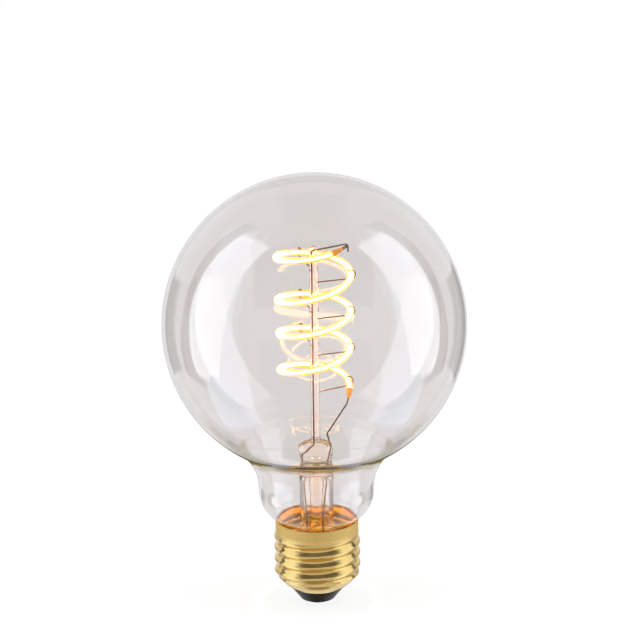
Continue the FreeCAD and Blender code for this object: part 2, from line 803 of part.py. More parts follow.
def lying(label, diameter, length, across):
    """A round part that lies on the board, its axis along Y."""
    part = doc.addObject("Part::Cylinder", label)
    part.Placement.Rotation = Rotation(Vector(1, 0, 0), -90)
    bind(part, Radius=diameter / 2, Height=length)
    bind(part, Placement__Base__x=across, Placement__Base__y=-(length / 2))
    bind(part, Placement__Base__z=board_top + diameter / 2)
    return part


def board_block(label, length, width, height, along):
    """A moulded part that stands flat on the board."""
    block = doc.addObject("Part::Box", label)
    bind(block, Length=length, Width=width, Height=height)
    bind(block, Placement__Base__x=-(length / 2), Placement__Base__y=along - width / 2)
    bind(block, Placement__Base__z=board_top)
    return block


def driver():
    ring = board_radius - size.part_inset
    wire = size.hookup_diameter / 2
    shank_top = insulator_face + size.shank_height
    wall_side = (root_inner_radius - wire - size.cap_clearance) * math.sqrt(0.5)
    return [
        upright("driver_board", board_radius, size.board_thickness, 0, 0, board_bottom),
        board_block("rectifier", size.rectifier_length, size.rectifier_width, size.rectifier_height, ring),
        board_block("driver_chip", size.chip_length, size.chip_width, size.chip_height, -ring),
        lying("fuse_resistor", size.resistor_diameter, size.resistor_length, ring),
        lying("smoothing_capacitor", size.capacitor_diameter, size.capacitor_length, -ring),
        upright("shell_wire", wire, size.shell_wire_height, wall_side, wall_side, board_top),
        upright("contact_wire", wire, board_bottom - shank_top, 0, 0, shank_top),
    ]


def build():
    leads = [long_lead(), short_lead()]
    wires = support_wires()
    pieces = [glass_envelope(), stem_flare(leads), exhaust_tube(), centre_rod(wires)] + leads + wires
    pieces.append(led_filament())
    pieces.append(terminal("upper_terminal", size.coil_last_angle.number, 1, size.upper_terminal_length))
    pieces.append(terminal("lower_terminal", size.coil_first_angle.number, -1, size.lower_terminal_length))
    pieces += [screw_shell(), cap_cement(), insulator(), centre_contact()]
    return pieces + driver()


pieces = build()
doc.recompute()
for feature in doc.Objects:
    if "Invalid" in feature.State or "Error" in feature.State:
        raise RuntimeError(f"{feature.Label} failed: {feature.State}")
for piece in pieces:
    if piece.Shape.isNull() or not piece.Shape.isValid() or piece.Shape.Volume <= 0:
        raise RuntimeError(f"{piece.Label} has no valid shape")

os.makedirs("parts", exist_ok=True)
for piece in pieces:
    piece.Shape.exportStep(os.path.join("parts", f"{piece.Label}.step"))
    print(piece.Label, "volume", round(piece.Shape.Volume, 2), "solids", len(piece.Shape.Solids))
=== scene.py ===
import bpy
import math
from mathutils import Matrix, Vector


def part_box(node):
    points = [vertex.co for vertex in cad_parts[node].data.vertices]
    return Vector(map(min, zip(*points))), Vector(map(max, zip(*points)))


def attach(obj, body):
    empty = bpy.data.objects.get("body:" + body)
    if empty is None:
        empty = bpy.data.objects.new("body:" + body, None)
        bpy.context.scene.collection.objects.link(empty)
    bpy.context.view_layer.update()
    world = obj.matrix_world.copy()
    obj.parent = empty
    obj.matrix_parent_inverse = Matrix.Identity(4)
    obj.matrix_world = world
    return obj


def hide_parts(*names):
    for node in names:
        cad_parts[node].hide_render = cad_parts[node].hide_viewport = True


mm = 0.001  # shapes below are drawn in millimetres, Blender takes metres
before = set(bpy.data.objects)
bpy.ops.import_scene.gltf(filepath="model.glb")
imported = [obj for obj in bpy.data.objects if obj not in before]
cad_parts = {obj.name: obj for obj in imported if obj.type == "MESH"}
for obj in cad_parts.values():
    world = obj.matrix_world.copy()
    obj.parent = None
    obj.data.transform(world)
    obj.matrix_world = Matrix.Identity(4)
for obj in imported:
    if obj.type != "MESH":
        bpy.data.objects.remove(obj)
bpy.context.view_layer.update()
print("frame loaded:", len(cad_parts), "solids")


# shared drawing tools

def outward(spots, faces):
    volume = 0.0
    for face in faces:
        first = Vector(spots[face[0]])
        for second, third in zip(face[1:], face[2:]):
            volume += first.dot(Vector(spots[second]).cross(Vector(spots[third])))
    return faces if volume >= 0 else [face[::-1] for face in faces]


def newPiece(name, spots, faces, smooth=True):
    mesh = bpy.data.meshes.new(name)
    faces = outward(spots, faces)
    mesh.from_pydata([(x * mm, y * mm, z * mm) for x, y, z in spots], [], faces)
    mesh.update()
    if smooth:
        mesh.shade_smooth()
    piece = bpy.data.objects.new(name, mesh)
    bpy.context.scene.collection.objects.link(piece)
    return piece


def skinRings(rings, loopAlong=False):
    spots, faces, starts = [], [], []
    for ring in rings:  # a ring of one spot is a pole
        starts.append((len(spots), len(ring)))
        spots += ring
    pairs = list(zip(starts, starts[1:]))
    if loopAlong:
        pairs.append((starts[-1], starts[0]))
    for (first, count), (second, nextCount) in pairs:
        around = max(count, nextCount)
        for step in range(around):
            after = (step + 1) % around
            if count == 1:
                faces.append((first, second + after, second + step))
            elif nextCount == 1:
                faces.append((first + step, first + after, second))
            else:
                faces.append((first + step, first + after, second + after, second + step))
    return spots, faces


def ringOf(radius, height, around):
    if radius <= 0:
        return [(0.0, 0.0, height)]
    angles = [2 * math.pi * step / around for step in range(around)]
    return [(radius * math.cos(a), radius * math.sin(a), height) for a in angles]


def turned(name, profile, around, loopAlong=False):
    rings = [ringOf(radius, height, around) for radius, height in profile]
    return newPiece(name, *skinRings(rings, loopAlong))


def arcRun(centre, radius, start, end, count):
    run = []
    for step in range(count + 1):
        angle = math.radians(start + (end - start) * step / count)
        run.append((centre[0] + radius * math.cos(angle), centre[1] + radius * math.sin(angle)))
    return run


def lineRun(start, end, count):
    return [tuple(a + (b - a) * step / count for a, b in zip(start, end)) for step in range(count + 1)]


def easeStep(value):
    share = min(max(value, 0.0), 1.0)
    return share * share * (3 - 2 * share)


def tidyRun(run, gap=1e-6):
    kept = [run[0]]
    for spot in run[1:]:
        if math.dist(spot, kept[-1]) > gap:
            kept.append(spot)
    return kept


def settle(piece, slotName, material, *nodes):
    piece.data.materials.clear()
    piece.data.materials.append(material)
    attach(piece, "root")
    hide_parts(*nodes)
    return piece


def newMaterial(name):
    material = bpy.data.materials.new(name)
    material.use_nodes = True
    return material, material.node_tree.nodes["Principled BSDF"]


def addNode(material, kind, **inputs):
    node = material.node_tree.nodes.new(kind)  # a world has a node tree too
    for label, value in inputs.items():
        node.inputs[label].default_value = value
    return node


def join(material, source, target):
    material.node_tree.links.new(source, target)


def objectSpots(material, stretch=(1, 1, 1)):
    place = addNode(material, "ShaderNodeTexCoord")
    mapping = addNode(material, "ShaderNodeMapping", Scale=stretch)
    join(material, place.outputs["Object"], mapping.inputs["Vector"])
    return mapping.outputs["Vector"]


def grain(material, scale, stretch=(1, 1, 1), detail=4.0):
    noise = addNode(material, "ShaderNodeTexNoise", Scale=scale, Detail=detail)
    join(material, objectSpots(material, stretch), noise.inputs["Vector"])
    return noise.outputs["Fac"]


def ranged(material, source, low, high, start=0.3, end=0.7):  # noise lies mostly between 0.3 and 0.7
    spread = addNode(material, "ShaderNodeMapRange")
    for label, value in (("From Min", start), ("From Max", end), ("To Min", low), ("To Max", high)):
        spread.inputs[label].default_value = value
    join(material, source, spread.inputs["Value"])
    return spread.outputs["Result"]


def ramped(material, source, stops, interpolation="LINEAR"):
    ramp = addNode(material, "ShaderNodeValToRGB")
    ramp.color_ramp.interpolation = interpolation
    elements = ramp.color_ramp.elements
    while len(elements) < len(stops):
        elements.new(0.5)
    for element, (place, colour) in zip(elements, stops):
        element.position = place
        element.color = (*colour, 1)
    join(material, source, ramp.inputs["Fac"])
    return ramp.outputs["Color"]


def blended(material, source, colours):
    return ramped(material, source, list(zip((0.3, 0.7), colours)))


def maths(material, operation, *sources):
    node = addNode(material, "ShaderNodeMath")
    node.operation = operation
    for socket, source in zip(node.inputs, sources):
        if isinstance(source, float):
            socket.default_value = source
        else:
            join(material, source, socket)
    return node.outputs["Value"]


def mixedColour(material, share, first, second):
    mix = addNode(material, "ShaderNodeMix")
    mix.data_type = "RGBA"
    join(material, share, mix.inputs["Factor"])
    for label, colour in (("A", first), ("B", second)):
        if isinstance(colour, tuple):
            mix.inputs[label].default_value = (*colour, 1)
        else:
            join(material, colour, mix.inputs[label])
    return mix.outputs["Result"]


def heightOf(material):
    split = addNode(material, "ShaderNodeSeparateXYZ")
    join(material, objectSpots(material), split.inputs["Vector"])
    return split.outputs["Z"]


def heightBand(material, height, zone):
    start, full, fade, end = (level * mm for level in zone)
    rise = ranged(material, height, 0.0, 1.0, start, full)
    return maths(material, "MULTIPLY", rise, ranged(material, height, 1.0, 0.0, fade, end))


def slant(material, start, end):  # grows where the glass is seen at a slant
    facing = addNode(material, "ShaderNodeLayerWeight")
    return ranged(material, facing.outputs["Facing"], 0.0, 1.0, start, end)


def bumped(material, shader, source, height):
    bump = addNode(material, "ShaderNodeBump", Distance=height)
    join(material, source, bump.inputs["Height"])
    join(material, bump.outputs["Normal"], shader.inputs["Normal"])


# glass envelope

envelopeSet = {
    "wall": 0.8,
    "lowerPull": 1.0,
    "neckRadius": 17.65,
    "neckLength": 0.9,
    "neckFillet": 17.0,
    "shoulderRadius": 9.7,
    "skirtFillet": 1.5,
    "skirtFilletDepth": 0.27,
    "skirtRadius": 12.2,
    "endRound": 0.15,
    "throatGain": 0.8,  # extra wall where the globe turns into the neck
    "throatSpan": (4.5, 1.6),  # its reach up and down
    "throatDrop": 0.6,
    "capWall": 0.35,
    "cuts": (64, 60, 22, 20, 8, 4),  # steps along the outline's stretches, from the top down
    "around": 160,
    "tint": (0.853, 0.830, 0.822),
    "rimSlant": (0.78, 0.95),
    # painted shade: the glass darkens towards its rim, where it is seen at a slant
    "paintedRimShade": (0.70, 0.68, 0.67),
    "foldZone": (46.0, 49.0, 57.0, 62.0),  # heights between which the painted dark-gold band at the fold comes and goes
    "foldSlant": (0.62, 0.78),
    # painted shade and reflection: dark gold standing in for the cap seen in the thick fold
    "paintedFoldReflection": (0.27, 0.185, 0.035),
    "rimBandZone": (26.5, 27.0, 27.2, 27.8),
    # brown band on the glass just above the cap's rim
    "rimBand": (0.50, 0.30, 0.10),
    # painted warm cast on the skirt inside the cap
    "insideCapWarmth": (0.84, 0.68, 0.22),
    "ior": 1.5,
    "rippleScale": 28,
    "ripple": 0.00002,  # metres
}

glassLow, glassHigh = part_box("glass_envelope")
globeRadius = min(glassHigh.x - glassLow.x, glassHigh.y - glassLow.y) / 2 / mm
skirtBottom = glassLow.z / mm
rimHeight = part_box("screw_shell")[1].z / mm
skirtTop = rimHeight - envelopeSet["skirtFilletDepth"]


def legOf(long, side):
    return math.sqrt(long ** 2 - side ** 2)


def envelopeCentres():
    s = envelopeSet
    bend = (s["skirtRadius"] + s["skirtFillet"], skirtTop)
    inner = s["neckRadius"] - s["shoulderRadius"]
    shoulder = (inner, skirtTop + legOf(s["shoulderRadius"] + s["skirtFillet"], bend[0] - inner))
    throat = (s["neckRadius"] + s["neckFillet"], shoulder[1] + s["neckLength"])
    reach = globeRadius - s["lowerPull"] + s["neckFillet"]
    lower = (s["lowerPull"], throat[1] + legOf(reach, throat[0] - s["lowerPull"]))
    return bend, shoulder, throat, lower


globeHeight = envelopeCentres()[3][1]


def envelopeSide(inset):
    s = envelopeSet
    bend, shoulder, throat, lower = envelopeCentres()
    throatAngle = math.degrees(math.atan2(throat[1] - lower[1], throat[0] - lower[0]))
    bendAngle = math.degrees(math.atan2(bend[1] - shoulder[1], bend[0] - shoulder[0]))
    skirt, cuts = s["skirtRadius"] - inset, s["cuts"]
    run = arcRun((0, globeHeight), globeRadius - inset, 90, 0, cuts[0])
    run += arcRun(lower, globeRadius - s["lowerPull"] - inset, 0, throatAngle, cuts[1])
    run += arcRun(throat, s["neckFillet"] + inset, throatAngle + 180, 180, cuts[2])
    run += arcRun(shoulder, s["shoulderRadius"] - inset, 0, bendAngle, cuts[3])
    run += arcRun(bend, s["skirtFillet"] + inset, bendAngle + 180, 180, cuts[4])
    run += lineRun((skirt, skirtTop), (skirt, skirtBottom + s["endRound"]), cuts[5])
    run[0] = (0.0, run[0][1])
    return tidyRun(run)


def innerSide():
    s = envelopeSet
    _, shoulder, throat, lower = envelopeCentres()
    share = s["neckFillet"] / math.dist(throat, lower)
    peak = throat[1] + (lower[1] - throat[1]) * share - s["throatDrop"]  # where the curve changes side
    away = [(l - t) / math.dist(throat, lower) for t, l in zip(throat, lower)]
    run = []
    for thick, thin in zip(envelopeSide(s["wall"]), envelopeSide(s["capWall"])):
        ease = easeStep((thick[1] - rimHeight) / (shoulder[1] - rimHeight))  # the wall thins out into the cap
        radius, height = [a * ease + b * (1 - ease) for a, b in zip(thick, thin)]
        span = s["throatSpan"][0 if height > peak else 1]
        gain = s["throatGain"] * easeStep(1 - abs(height - peak) / span) * (height < globeHeight)
        run.append((radius + away[0] * gain, height + away[1] * gain))
    return run


def makeEnvelope():
    s = envelopeSet
    outside, inside = envelopeSide(0.0), innerSide()
    edge = s["endRound"]
    lip = arcRun((s["skirtRadius"] - edge, skirtBottom + edge), edge, 0, -90, 4)
    lip += arcRun((s["skirtRadius"] - s["capWall"] + edge, skirtBottom + edge), edge, -90, -180, 4)
    return turned("glassEnvelope", tidyRun(outside + lip + inside[::-1]), s["around"])


def globeGlass():
    material, shader = newMaterial("globeGlass")
    s = envelopeSet
    height = heightOf(material)
    zone = heightBand(material, height, s["foldZone"])  # painted shade and reflection: a dark-gold band where the globe turns into the neck, seen at a slant
    # painted shade and reflection: the band shows where the glass is seen at a slant
    long = maths(material, "MULTIPLY", slant(material, *s["foldSlant"]), zone)
    # painted shade: darker towards the rim, where the glass is seen at a slant
    clear = mixedColour(material, slant(material, *s["rimSlant"]), s["tint"], s["paintedRimShade"])
    foldReflected = mixedColour(material, long, clear, s["paintedFoldReflection"])
    rimBand = heightBand(material, height, s["rimBandZone"])  # a brown band on the glass just above the cap's rim
    low, high = s["rimBandZone"][:2]
    insideCapWarmth = ranged(material, height, 1.0, 0.0, low * mm, high * mm)
    warmedInside = mixedColour(material, insideCapWarmth, foldReflected, s["insideCapWarmth"])  # painted warm cast: amber tint on the skirt inside the cap, warming the light and reflections seen there
    join(material, mixedColour(material, rimBand, warmedInside, s["rimBand"]), shader.inputs["Base Color"])
    shader.inputs["Roughness"].default_value = 0.0
    shader.inputs["IOR"].default_value = s["ior"]
    shader.inputs["Transmission Weight"].default_value = 1.0
    waves = grain(material, s["rippleScale"], detail=1.0)  # slow waves of blown glass
    bumped(material, shader, waves, s["ripple"])
    return material


envelope = settle(makeEnvelope(), "clear_glass", globeGlass(), "glass_envelope")
envelope.visible_shadow = False  # lamp light passes into the globe
print("glass envelope blown")


# filament: a lit core inside a translucent coat

filamentSet = {
    "radius": 1.05,
    "coreRadius": 0.365,
    "lowRadius": 10.5,
    "highRadius": 11.45,
    "pitch": 11.75,
    "tilt": 0.55,
    "belowCentre": 19.6,
    "first": -17.0,
    "last": 1400.0,
    "sway": 0.95,
    "tailDrop": 3.2,
    "tailAngle": 57.0,
    "step": 4.0,
    "around": 20,
    "darkTip": (15.0, 21.0),  # degrees of the coil at its ends that stay unlit
    "tipTaper": 0.45,
    "tipRound": 0.3,
    "tipColours": ((0.80, 0.28, 0.02), (0.92, 0.42, 0.05)),
    "tipLight": (1.0, 0.38, 0.03),
    "tipGlow": 0.12,
    "litRound": 0.2,
    "coreGap": 1.0,  # degrees that the core ends inside its coat
    "coreBase": (0.95, 0.80, 0.45),
    "coreColour": (1.0, 0.82, 0.62),
    "coreStrength": 7.0,
    "coatColour": (1.0, 0.56, 0.11),
    "coatIor": 1.41,
    "coatLight": (1.0, 0.42, 0.05),
    "coatGlow": 0.6,
}


def coilSpot(degrees):
    s = filamentSet
    share = (degrees - s["first"]) / (s["last"] - s["first"])
    radius = s["lowRadius"] + (s["highRadius"] - s["lowRadius"]) * share
    angle = math.radians(degrees)
    hang = max(0.0, 1.0 - (degrees - s["first"]) / s["tailAngle"])
    height = globeHeight - s["belowCentre"] + s["pitch"] * degrees / 360
    height += s["tilt"] * math.cos(angle) - s["tailDrop"] * hang * hang
    if degrees > 720:  # the two upper turns sway
        height -= s["sway"] * math.sin(angle / 2)
    return Vector((radius * math.cos(angle), radius * math.sin(angle), height))


def coilTube(name, start, end, startRadius, endRadius, roundEnd):
    s = filamentSet
    count = math.ceil(abs(end - start) / s["step"])
    path = [coilSpot(start + (end - start) * step / count) for step in range(count + 1)]
    radii = [startRadius + (endRadius - startRadius) * step / count for step in range(count + 1)]
    for spot, ahead, radius in ((path[0], path[1], startRadius), (path[-1], path[-2], endRadius)):
        inward = (ahead - spot).normalized()
        dome = []
        for angle in (0, 25, 50, 72):
            a = math.radians(angle)
            depth = roundEnd * (1 - math.sin(a))
            dome.append((spot + inward * depth, radius - roundEnd + roundEnd * math.cos(a)))
        dome += [(spot, radius - roundEnd), (spot, 0.0)]
        if spot is path[0]:
            path[0:1] = [place for place, _ in dome[::-1]]
            radii[0:1] = [size for _, size in dome[::-1]]
        else:
            path[-1:] = [place for place, _ in dome]
            radii[-1:] = [size for _, size in dome]
    return newPiece(name, *skinRings(coilRings(path, radii)))


def coilRings(path, radii):
    rings, directions = [], []
    last = len(path) - 1
    for index in range(len(path)):
        low, high = max(index - 1, 0), min(index + 1, last)
        while (path[high] - path[low]).length < 0.05 and (low > 0 or high < last):  # too near to give a direction
            low, high = max(low - 1, 0), min(high + 1, last)
        directions.append((path[high] - path[low]).normalized())
    around = filamentSet["around"]
    for spot, radius, ahead in zip(path, radii, directions):
        if radius <= 0:
            rings.append([tuple(spot)])
            continue
        side = ahead.cross(Vector((0, 0, 1))).normalized()
        up = side.cross(ahead)
        ring = []
        for step in range(around):
            angle = 2 * math.pi * step / around
            ring.append(tuple(spot + (side * math.cos(angle) + up * math.sin(angle)) * radius))
        rings.append(ring)
    return rings


def litCore():
    material, shader = newMaterial("litCore")
    s = filamentSet
    shader.inputs["Base Color"].default_value = (*s["coreBase"], 1)
    shader.inputs["Roughness"].default_value = 0.6
    shader.inputs["Emission Color"].default_value = (*s["coreColour"], 1)
    shader.inputs["Emission Strength"].default_value = s["coreStrength"]
    return material


def filamentCoat():
    material, shader = newMaterial("filamentCoat")
    s = filamentSet
    shader.inputs["Base Color"].default_value = (*s["coatColour"], 1)
    shader.inputs["Transmission Weight"].default_value = 1.0
    shader.inputs["IOR"].default_value = s["coatIor"]
    shader.inputs["Emission Color"].default_value = (*s["coatLight"], 1)
    shader.inputs["Emission Strength"].default_value = s["coatGlow"]
    join(material, ranged(material, grain(material, 900), 0.08, 0.15), shader.inputs["Roughness"])
    return material


def darkTip():
    material, shader = newMaterial("darkTip")
    s = filamentSet
    join(material, blended(material, grain(material, 1500), s["tipColours"]), shader.inputs["Base Color"])
    shader.inputs["Roughness"].default_value = 0.45
    shader.inputs["Emission Color"].default_value = (*s["tipLight"], 1)
    shader.inputs["Emission Strength"].default_value = s["tipGlow"]
    shader.inputs["Subsurface Weight"].default_value = 0.3
    shader.inputs["Subsurface Radius"].default_value = (0.001, 0.0004, 0.0001)
    return material


def makeFilament():
    s = filamentSet
    wide, core, thin = s["radius"], s["coreRadius"], s["radius"] * s["tipTaper"]
    start, end = s["first"] + s["darkTip"][0], s["last"] - s["darkTip"][1]
    coat = coilTube("filamentCoat", start, end, wide, wide, s["litRound"])
    settle(coat, "filament_coat", filamentCoat(), "led_filament")
    lit = coilTube("filamentCore", start + s["coreGap"], end - s["coreGap"], core, core, s["litRound"])
    settle(lit, "filament_coat", litCore(), "led_filament")
    tipMaterial = darkTip()
    low = coilTube("lowerFilamentTip", s["first"], start, thin, wide, s["tipRound"])
    high = coilTube("upperFilamentTip", end, s["last"], wide, thin, s["tipRound"])
    for piece in (low, high):
        settle(piece, "filament_coat", tipMaterial, "led_filament")
    coat.visible_shadow = False  # the core's light leaves through it


makeFilament()
print("filament wound")


# glass mount: flare tube, press and post

mountSet = {
    "tubeRadius": 5.1,
    "boreRadius": 4.2,
    "lipRadius": 12.2,
    "sweepCentre": 11.4,
    "sweepRise": 3.2,  # the flare turns out low, under the cap's rim
    "lipThick": 0.9,
    "tubeTop": 40.95,
    "pressBottom": 45.95,
    "pressHalf": (5.2, 3.2),
    "pressEdge": 2.3,
    "waist": (0.45, 45.6, 1.3),  # depth, height and span of the groove under the press
    "jawMark": (0.3, 50.2, 0.9),  # the same for the mark of the press jaw on one side
    "blowHole": (2.2, 1.2, 0.5),  # half sizes of the flattened blow hole
    "blowPlace": (-1.5, 47.5),
    "blowSag": 0.55,
    "blowCuts": (20, 24),
    "domeDrop": 8.5,  # the bore closes this far under the tube's top
    "domeStretch": 9.0,
    "rodRadius": 1.375,
    "rodCrown": 0.7,
    "rodCuts": 150,
    "collar": 1.3,
    "bead": (0.14, 0.06, 0.55),  # lean, swell and span of the glass round a support wire
    "supportAngles": (14.0, 360.0, 720.0, 1080.0, 472.0, 832.0, 1192.0),  # degrees along the coil
    "supportRise": 2.5,
    "exhaustRadius": 1.9,
    "exhaustTip": 13.3,
    "exhaustTaper": 3.0,
    "exhaustBore": 1.3,
    "boreTop": 3.0,  # the exhaust bore ends this far above the tube's top
    "around": 72,
    "tint": (0.990, 0.965, 0.950),
    "edgeSlant": (0.54, 0.82),
    # painted shade at the glass's edges, seen at a slant
    "paintedEdgeShade": (0.12, 0.08, 0.07),
    "postSlant": (0.45, 0.85),
    # painted shade on the post's sides, seen at a slant
    "paintedPostShade": (0.34, 0.22, 0.17),
    "glow": (0.0, 0.12),  # painted glow strengths, at the cap's rim and at the coil
    "paintedGlowColour": (1.0, 0.52, 0.24),
    "ior": 1.52,
    "toolMarks": 0.00006,  # metres
}

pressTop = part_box("stem_flare")[1].z / mm
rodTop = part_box("centre_rod")[1].z / mm


def evenly(run):
    return [(radius, radius, height) for radius, height in run]


def postRun():
    s = mountSet
    rod, crown, collar, count = s["rodRadius"], s["rodCrown"], s["collar"], s["rodCuts"]
    collarTop = pressTop + collar
    run = [(0.0, rodTop)]
    for angle in (20, 45, 70, 90):
        a = math.radians(angle)
        run.append((rod - crown + crown * math.sin(a), rodTop - crown * (1 - math.cos(a))))
    for step in range(1, count + 1):
        run.append((rod, rodTop - crown + (collarTop - rodTop + crown) * step / count))
    for angle in (15, 30, 45, 60, 75):  # the collar spreads onto the press
        a = math.radians(angle)
        run.append((rod + collar * (1 - math.cos(a)), collarTop - collar * math.sin(a)))
    return evenly(run)


def pressRun(start):
    s = mountSet
    half, deep = s["pressHalf"]
    edge, low, tube = s["pressEdge"], s["pressBottom"], s["tubeRadius"]
    flatX, flatY = half - edge, deep - edge
    run = []
    for share in (0.35, 0.7):
        run.append((start[0] + (flatX - start[0]) * share, start[1] + (flatY - start[1]) * share, pressTop))
    for angle in range(0, 91, 15):
        a = math.radians(angle)
        out = edge * math.sin(a)
        run.append((flatX + out, flatY + out, pressTop - edge * (1 - math.cos(a))))
    for step in range(1, 9):
        run.append((half, deep, pressTop - edge + (low - pressTop + edge) * step / 8))
    for step in range(1, 13):  # flat press to round tube
        share = step / 12
        ease = easeStep(share)
        across, depth = half + (tube - half) * ease, deep + (tube - deep) * ease
        run.append((across, depth, low + (s["tubeTop"] - low) * share))
    return run


def flareRun():
    s = mountSet
    tube, thick, lip = s["tubeRadius"], s["lipThick"], s["lipRadius"]
    sweep, straightEnd = s["sweepCentre"] - tube, skirtBottom + s["sweepRise"]
    run = lineRun((tube, s["tubeTop"]), (tube, straightEnd), 10)[1:]
    for radius, height in arcRun((s["sweepCentre"], 0.0), sweep, 180, 270, 14)[1:]:
        run.append((radius, straightEnd + height * s["sweepRise"] / sweep))
    run += [(lip, skirtBottom), (lip, skirtBottom - thick)]
    under = sweep + thick
    for radius, height in arcRun((s["sweepCentre"], 0.0), under, 270, 180, 14):
        run.append((radius, straightEnd + height * (s["sweepRise"] + thick) / under))
    domeLow = s["tubeTop"] - s["domeDrop"]
    run += lineRun((s["boreRadius"], straightEnd), (s["boreRadius"], domeLow), 10)[1:]
    return evenly(run)


def exhaustRun():
    s = mountSet
    tube, taper = s["exhaustRadius"], s["exhaustTaper"]
    domeLow, taperTop = s["tubeTop"] - s["domeDrop"], s["exhaustTip"] + taper
    gap = (s["boreRadius"] - tube) / 2
    run = []
    for radius, height in arcRun((tube + gap, 0.0), gap, 0, 180, 16)[1:]:
        run.append((radius, domeLow + height * s["domeStretch"]))
    run += lineRun((tube, domeLow), (tube, taperTop), 10)[1:]
    for share in (0.35, 0.65, 0.85, 0.96):
        run.append((tube * math.sqrt(1 - share ** 2), taperTop - taper * share))
    run.append((0.0, s["exhaustTip"]))
    return evenly(run)


def mountRing(across, deep, height):
    s = mountSet
    if across <= 0:
        return ringOf(0.0, height, s["around"])
    lean, gain, span = s["bead"]
    shiftX = shiftY = swell = 0.0
    if across < s["rodRadius"] + 0.01 and height > pressTop:
        for degrees in s["supportAngles"]:  # beads where the support wires are fused in
            azimuth, level = math.radians(degrees), coilSpot(degrees).z - s["supportRise"]
            near = math.exp(-((height - level) / span) ** 2)
            shiftX += lean * near * math.cos(azimuth)
            shiftY += lean * near * math.sin(azimuth)
            swell += gain * near
    if across > s["boreRadius"] + 0.1:
        swell -= groove(height, *s["waist"])
        shiftX -= groove(height, *s["jawMark"])
    ring = []
    for x, y, z in ringOf(1.0, height, s["around"]):
        ring.append((shiftX + (across + swell) * x, shiftY + (deep + swell) * y, z))
    return ring


def makeMount():
    post = postRun()
    stations = post + pressRun(post[-1]) + flareRun() + exhaustRun()
    spots, faces = skinRings([mountRing(*station) for station in stations])
    for cavity in (exhaustBore(), blowHole()):
        hollow, walls = skinRings(cavity)
        walls = [face[::-1] for face in outward(hollow, walls)]
        faces += [tuple(len(spots) + corner for corner in face) for face in walls]
        spots += hollow
    return newPiece("glassMount", spots, faces)


def groove(height, depth, level, span):
    return depth * math.exp(-((height - level) / span) ** 2)


def blowHole():
    s = mountSet
    wide, deep, tall = s["blowHole"]
    count, around = s["blowCuts"]
    rings = []
    for step in range(count + 1):  # rings from side to side, the middle hanging lower
        angle = math.pi * step / count
        x, size = -wide * math.cos(angle), math.sin(angle)
        y, z = s["blowPlace"]
        z -= s["blowSag"] * size ** 2
        if step in (0, count):
            rings.append([(x, y, z)])
            continue
        turns = [2 * math.pi * k / around for k in range(around)]
        rings.append([(x, y + deep * size * math.cos(a), z + tall * size * math.sin(a)) for a in turns])
    return rings


def exhaustBore():
    s = mountSet
    bore, tip, top = s["exhaustBore"], s["exhaustTip"], s["tubeTop"] + s["boreTop"]
    profile = [(0.0, tip + 1.4), (0.5, tip + 1.7), (bore, tip + 3.4)]
    profile += lineRun((bore, tip + 3.4), (bore, top - 1.4), 12)[1:]
    profile += [(1.15, top - 0.7), (0.75, top - 0.2), (0.0, top)]
    return [ringOf(radius, height, s["around"] // 2) for radius, height in profile]


def mountGlass():
    material, shader = newMaterial("mountGlass")
    s = mountSet
    post = ranged(material, heightOf(material), 0.0, 1.0, pressTop * mm, (pressTop + 2) * mm)
    outline = maths(material, "MULTIPLY", slant(material, *s["postSlant"]), post)
    edges = mixedColour(material, outline, s["tint"], s["paintedPostShade"])  # painted shade on the thin post's sides, seen at a slant
    # painted shade at the glass's edges, seen at a slant
    edges = mixedColour(material, slant(material, *s["edgeSlant"]), edges, s["paintedEdgeShade"])
    join(material, edges, shader.inputs["Base Color"])
    shader.inputs["Roughness"].default_value = 0.0
    shader.inputs["IOR"].default_value = s["ior"]
    shader.inputs["Transmission Weight"].default_value = 1.0
    bumped(material, shader, grain(material, 220, detail=2.0), s["toolMarks"])
    paintedGlow = ranged(material, heightOf(material), *s["glow"], rimHeight * mm, coilSpot(0).z * mm)
    shader.inputs["Emission Color"].default_value = (*s["paintedGlowColour"], 1)  # painted glow that stands in for filament light carried by the glass
    join(material, paintedGlow, shader.inputs["Emission Strength"])
    return material


mount = settle(makeMount(), "clear_glass", mountGlass(), "stem_flare", "centre_rod", "exhaust_tube")
mount.visible_shadow = False
print("glass mount pressed")


# screw cap

shellSet = {
    "crestRadius": 13.2,
    "depth": 1.05,
    "pitch": 3.629,
    "phase": 3.75,
    "runIn": 1.0,
    "runOut": 1.3,
    "lowMargin": 3.3,
    "highMargin": 4.0,
    "bandRadius": 12.75,
    "wall": 0.3,
    "baseRise": 5.1,
    "baseBend": 3.3,
    "holeRadius": 8.3,
    "rimRound": 0.13,
    "around": 180,
    "step": 0.16,
    "baseCuts": 32,
    "rimCuts": 3,
    "bright": (0.80, 0.58, 0.23),
    # the plain band's brass, a little brighter than the threads' to lift its shine: painted light
    "plain": (0.78, 0.56, 0.205),
    "dull": (0.70, 0.485, 0.17),
    # painted warm light: orange, mostly not metal, on the inside of the shell
    "insideWarmth": ((0.80, 0.40, 0.03), (1.0, 0.70, 0.15)),
    "insideMetal": 0.2,
    "rough": (0.13, 0.21),
    "plainRough": 0.55,  # added on the plain band
    "wheelMarks": 0.00001,  # metres
}

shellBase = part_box("screw_shell")[0].z / mm


def threadLift(height, azimuth):
    s = shellSet
    rise = easeStep((height - shellBase - s["lowMargin"]) / s["runIn"])
    fall = easeStep((rimHeight - s["highMargin"] - height) / s["runOut"])
    crest = shellBase + s["phase"] + s["pitch"] * azimuth / (2 * math.pi)
    wave = math.cos(2 * math.pi * (height - crest) / s["pitch"])
    middle = s["crestRadius"] - s["depth"] / 2 - s["bandRadius"]
    return rise * fall * (middle + s["depth"] / 2 * wave)


